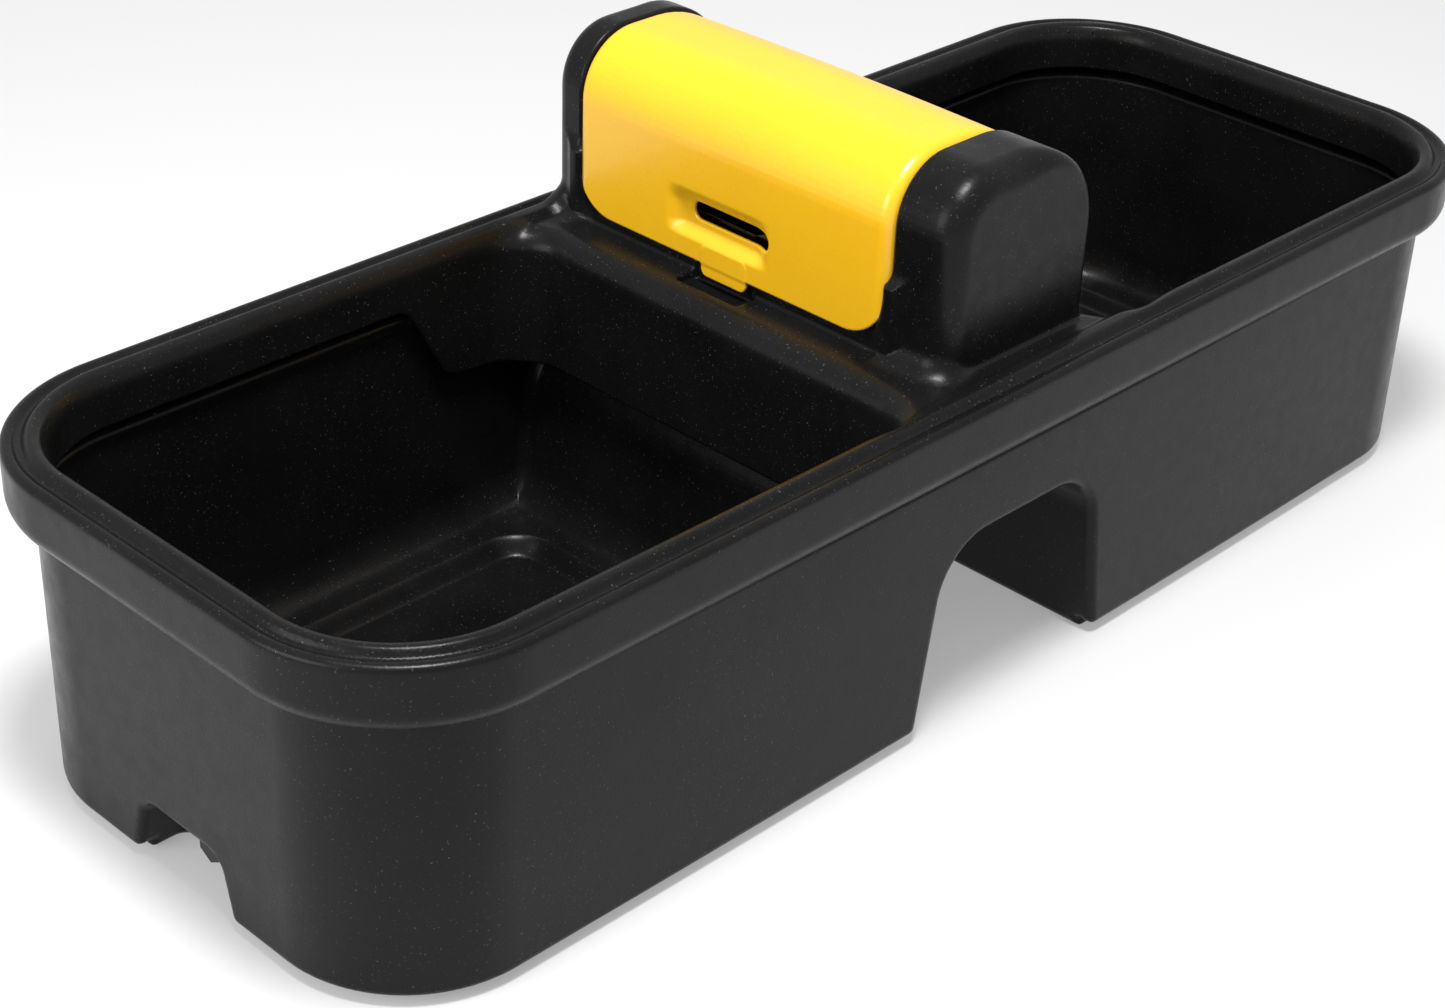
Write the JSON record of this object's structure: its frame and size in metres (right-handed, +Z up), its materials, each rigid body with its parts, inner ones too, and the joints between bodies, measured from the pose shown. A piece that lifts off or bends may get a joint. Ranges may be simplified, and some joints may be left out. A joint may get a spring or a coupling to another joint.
{
  "type": "livestock water trough",
  "caption": "Long low moulded tub with a basin at each end, a pipe tunnel under the middle, and a hinged cover over a float valve between the basins.",
  "frame": {"origin": "centre of the base footprint, on the ground", "axes": "+X along the trough, +Y across it towards the thin end post of the valve housing, +Z up; the cover's finger slot faces -X"},
  "size_m": [1.4, 0.535, 0.4815],
  "materials": {
    "black_polyethylene": "satin rotationally moulded polyethylene with a fine orange peel",
    "yellow_plastic": "glossy injection-moulded plastic",
    "brass": "turned and slightly dull",
    "stainless": "drawn wire and pin stock",
    "white_nylon": "moulded nylon",
    "rubber": "matt moulded rubber",
    "float_plastic": "blow-moulded, semi-gloss",
    "plug_plastic": "moulded polypropylene"
  },
  "bodies": {
    "trough": {"trough_body": "black_polyethylene", "hinge_pin_near": "stainless", "hinge_pin_far": "stainless", "inlet_pipe": "brass", "inlet_seal_lower": "rubber", "inlet_seal_upper": "rubber", "inlet_locknut_lower": "brass", "inlet_locknut_upper": "brass", "valve_body": "brass", "valve_seat": "white_nylon", "valve_end_cap": "brass", "pivot_pin": "stainless", "split_pin": "stainless"},
    "cover": {"valve_cover": "yellow_plastic"},
    "float_lever": {"float_arm": "brass", "float_lock_nut": "brass", "float": "float_plastic"},
    "piston": {"valve_piston": "brass", "piston_washer": "rubber"},
    "left_plug": {"drain_plug_left": "plug_plastic", "drain_seal_left": "rubber"},
    "right_plug": {"drain_plug_right": "plug_plastic", "drain_seal_right": "rubber"}
  },
  "joints": [
    {"name": "cover_hinge", "type": "hinge", "parent": "trough", "child": "cover", "pos_m": [0.1, 0.0315, 0.332], "axis": [0, 1, 0], "range_deg": [0, 90]},
    {"name": "float_hinge", "type": "hinge", "parent": "trough", "child": "float_lever", "pos_m": [0, 0.078, 0.2847], "axis": [1, 0, 0], "range_deg": [-14, 0]},
    {"name": "piston_slide", "type": "slide", "parent": "trough", "child": "piston", "axis": [0, 1, 0], "range_m": [0, 0.004]},
    {"name": "left_plug_slide", "type": "slide", "parent": "trough", "child": "left_plug", "axis": [-1, 0, 0], "range_m": [0, 0.06]},
    {"name": "right_plug_slide", "type": "slide", "parent": "trough", "child": "right_plug", "axis": [1, 0, 0], "range_m": [0, 0.06]}
  ],
  "couplings": [
    {"joint": "piston_slide", "follows": "float_hinge", "m_per_rad": -0.0153}
  ]
}
